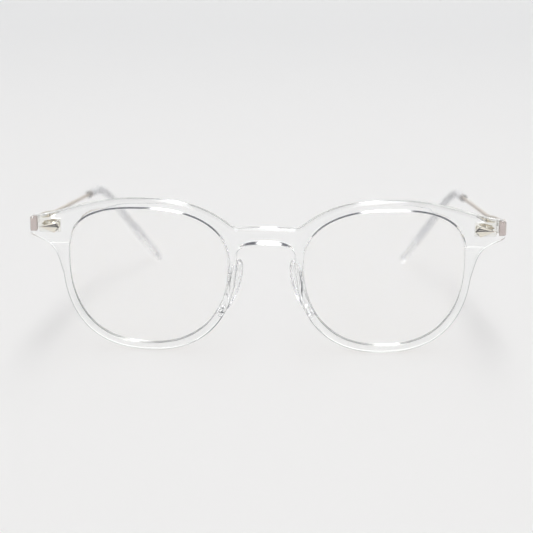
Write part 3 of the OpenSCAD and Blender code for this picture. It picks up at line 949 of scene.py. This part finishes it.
def dress_cad(node, material, bevel):
    """Keeps a CAD piece, with its edges broken and a better material."""
    obj = frame["nodes"][node]
    weld = obj.modifiers.new("weld", "WELD")
    weld.merge_threshold = 1e-6
    if bevel:
        edges = obj.modifiers.new("edges", "BEVEL")
        edges.width = bevel * MM
        edges.segments = 3
        edges.limit_method = "ANGLE"
        edges.angle_limit = math.radians(40)
        edges.harden_normals = False
    for s in obj.material_slots:
        s.link = "OBJECT"
        s.material = material
    obj.data.shade_smooth()
    obj.data.set_sharp_from_angle(angle=math.radians(35))


EVEN = (1, 1, 1)
DRAWN = (4, 0.3, 4)                     # grain drawn out along the temple

# The second colour of each clear plastic is the painted shade on its slanted faces and low edges.
front_plastic = clear_plastic("clear_front", (0.985, 0.99, 0.99, 1), (0.10, 0.12, 0.11, 1), 0.015)
pad_plastic = clear_plastic("clear_pad", (0.98, 0.985, 0.985, 1), (0.30, 0.32, 0.34, 1), 0.03)
tip_plastic = clear_plastic("clear_tip", (0.975, 0.98, 0.985, 1), (0.60, 0.61, 0.63, 1), 0.02)
joint = fused_joint()
lens_coat = lens_material()
polished = metal("polished_champagne", (0.83, 0.79, 0.71), 0.14, 2200.0, EVEN, 0.08)
brushed = metal("brushed_champagne", (0.66, 0.60, 0.54), 0.32, 1500.0, DRAWN, 0.25)
hinge_metal = metal("hinge_champagne", (0.97, 0.96, 0.93), 0.08, 1800.0, EVEN, 0.1)
core_steel = metal("core_steel", (0.86, 0.86, 0.87), 0.25, 1800.0, EVEN, 0.1)
block_metal = metal("block_champagne", (0.68, 0.59, 0.565), 0.30, 1500.0, DRAWN, 0.25)
screw_steel = metal("screw_steel", (0.70, 0.70, 0.71), 0.22, 1800.0, (1, 1, 5), 0.15)
nylon = nylon_material()

moulding, back_cap = front_moulding()
dress(moulding, front_plastic, "front", "front_frame")
moulding.data.materials.append(joint)
for side in ("left", "right"):
    flip = side == "right"
    temple = "temple_" + side
    dress(lens("lens_shell_" + side, flip), lens_coat, "front", "lens_" + side)
    pad = nose_pad("pad_" + side, back_cap, flip)
    dress(pad, pad_plastic, "front", "nose_pad_" + side)
    pad.data.materials.append(joint)
    stud = rivet_stud("fluted_stud_" + side, flip)
    dress(stud, polished, "front", "rivet_stud_" + side)
    arm = temple_arm("arm_wire_" + side, flip)
    dress(arm, brushed, temple, "temple_arm_" + side)
    arm.data.materials.append(core_steel)
    dress(temple_tip("ear_tip_" + side, flip), tip_plastic, temple, "temple_tip_" + side)
    dress_cad("front_hinge_" + side, hinge_metal, 0.08)
    dress_cad("temple_hinge_" + side, hinge_metal, 0.08)
    dress_cad("hinge_screw_" + side, screw_steel, 0.05)
    dress_cad("hinge_washers_" + side, nylon, 0.0)
    dress_cad("end_block_" + side, block_metal, 0.2)

# ---- stage ----

PAPER_HALF = 4.5                        # metres
PAPER_NEAR, PAPER_FAR_SHADED = (0.915, 0.907, 0.89, 1), (0.82, 0.82, 0.812, 1)
PAPER_SHADE_FADE = (-0.1, 1.3)                # metres behind the middle of the glasses, over which the paper's painted shade deepens
WORLD_LIGHT = 1.08
ROOM = (WORLD_LIGHT, WORLD_LIGHT, WORLD_LIGHT * 0.99, 1)
DARK_ROOM = (0.15, 0.153, 0.175, 1)
BACKDROP = (0.82, 0.82, 0.815, 1)
# Dark parts of the room, in degrees: azimuth from behind, elevation, half angles of core and edge.
DARK_PARTS = [(0, 90, 50, 62), (58, 15, 28, 38), (-58, 15, 28, 38)]
STRIP_LIGHT = 5.4
STRIP_ACROSS = (0.025, 0.04, 0.21)      # centre, core and edge, sideways over up
STRIP_ALONG = (0.3, 1.2, 2.0)           # the same, backwards over up


def paper_floor():
    """A wide sheet of pale paper, greyed towards its back as painted shade where less light reaches it."""
    w = PAPER_HALF
    mesh = bpy.data.meshes.new("floor")
    mesh.from_pydata([(-w, -w, 0), (w, -w, 0), (w, w, 0), (-w, w, 0)], [], [(0, 1, 2, 3)])
    floor = bpy.data.objects.new("floor", mesh)
    bpy.context.scene.collection.objects.link(floor)
    material, nodes, links = new_material("pale_paper")
    body = add(nodes, "ShaderNodeBsdfPrincipled", Roughness=0.75)
    add_bump(nodes, links, body, noise_height(nodes, links, 700.0, 4.0), 0.05, 0.0001)
    # Painted shade: the paper's colour darkens towards the back.
    shade_away = smooth_step(nodes, links, position_part(nodes, links, "Y"), *PAPER_SHADE_FADE)
    links.new(blend(nodes, links, shade_away, PAPER_NEAR, PAPER_FAR_SHADED), body.inputs["Base Color"])
    show_surface(nodes, links, body.outputs[0])
    mesh.materials.append(material)


def dark_share(nodes, links, direction):
    """1 inside the dark parts of the room, 0 outside them."""
    shade = None
    for turn, rise, core, edge in DARK_PARTS:
        t, r = math.radians(turn), math.radians(rise)
        dot = add(nodes, "ShaderNodeVectorMath", operation="DOT_PRODUCT")
        dot.inputs[1].default_value = (math.sin(t) * math.cos(r), math.cos(t) * math.cos(r), math.sin(r))
        links.new(direction, dot.inputs[0])
        outer, inner = math.cos(math.radians(edge)), math.cos(math.radians(core))
        part = smooth_step(nodes, links, dot.outputs["Value"], outer, inner)
        shade = part if shade is None else worked(nodes, links, "MAXIMUM", shade, part)
    return shade


def strip_share(nodes, links, direction):
    """1 inside the long overhead light, fading to 0 past its soft edges."""
    split = nodes.new("ShaderNodeSeparateXYZ")
    links.new(direction, split.inputs[0])
    above = worked(nodes, links, "MAXIMUM", split.outputs["Z"], 0.01)
    share = None
    for axis, (centre, core, edge) in (("X", STRIP_ACROSS), ("Y", STRIP_ALONG)):
        slope = worked(nodes, links, "DIVIDE", split.outputs[axis], above)
        off = worked(nodes, links, "ABSOLUTE", worked(nodes, links, "SUBTRACT", slope, centre))
        part = smooth_step(nodes, links, off, edge, core)
        share = part if share is None else worked(nodes, links, "MULTIPLY", share, part)
    return share


def studio_world():
    """Even white light from all round, darker overhead and low behind, with one long strip light."""
    world = bpy.data.worlds.new("studio")
    bpy.context.scene.world = world
    world.use_nodes = True
    nodes, links = world.node_tree.nodes, world.node_tree.links
    nodes.clear()
    direction = nodes.new("ShaderNodeTexCoord").outputs["Generated"]
    room = blend(nodes, links, dark_share(nodes, links, direction), ROOM, DARK_ROOM)
    lamp = (STRIP_LIGHT, STRIP_LIGHT, STRIP_LIGHT, 1)
    lit = blend(nodes, links, strip_share(nodes, links, direction), room, lamp)
    seen = nodes.new("ShaderNodeLightPath").outputs["Is Camera Ray"]
    background = nodes.new("ShaderNodeBackground")
    links.new(blend(nodes, links, seen, lit, BACKDROP), background.inputs["Color"])
    out = nodes.new("ShaderNodeOutputWorld")
    links.new(background.outputs[0], out.inputs["Surface"])


CAMERA_DOWN, CAMERA_TURN, CAMERA_ROLL = 12.12, 2.4, 0.18    # degrees
CAMERA_FROM_BRIDGE = (20.9, -499.6, 133.5)                  # millimetres
SENSOR, FOCAL = 36.0, 115.835                               # millimetres
SHIFT_X = 0.0015                                            # share of the picture's width
FSTOP = 14.0


def photo_camera():
    """Half a metre in front, slightly to the wearer's left, looking 12 degrees down."""
    down, turn, roll = math.radians(CAMERA_DOWN), math.radians(CAMERA_TURN), math.radians(CAMERA_ROLL)
    place = (np.array([0.0, MID_Y, 0.0]) + CAMERA_FROM_BRIDGE) * MM
    way = Vector((-math.sin(turn) * math.cos(down), math.cos(turn) * math.cos(down), -math.sin(down)))
    facing = way.to_track_quat("-Z", "Y").to_matrix().to_4x4()
    data = bpy.data.cameras.new("camera")
    data.sensor_width, data.lens = SENSOR, FOCAL
    data.shift_x = SHIFT_X
    data.clip_start, data.clip_end = 0.01, 20
    camera = bpy.data.objects.new("camera", data)
    camera.matrix_world = Matrix.Translation(place) @ facing @ Matrix.Rotation(roll, 4, "Z")
    bpy.context.scene.collection.objects.link(camera)
    bpy.context.scene.camera = camera
    focus = bpy.data.objects.new("focus", None)
    focus.location = (0, (MID_Y + FRONT_T / 2) * MM, FRONT_H / 2 * MM)
    bpy.context.scene.collection.objects.link(focus)
    data.dof.use_dof = True
    data.dof.focus_object = focus
    data.dof.aperture_fstop = FSTOP


def light_paths(cycles):
    """Enough bounces for light that runs round inside the clear plastic."""
    cycles.caustics_refractive = False
    cycles.caustics_reflective = False
    cycles.max_bounces = 32
    cycles.transmission_bounces = 28
    cycles.glossy_bounces = 28
    cycles.transparent_max_bounces = 32


paper_floor()
studio_world()
photo_camera()
light_paths(bpy.context.scene.cycles)
bpy.context.scene.view_settings.view_transform = "Standard"
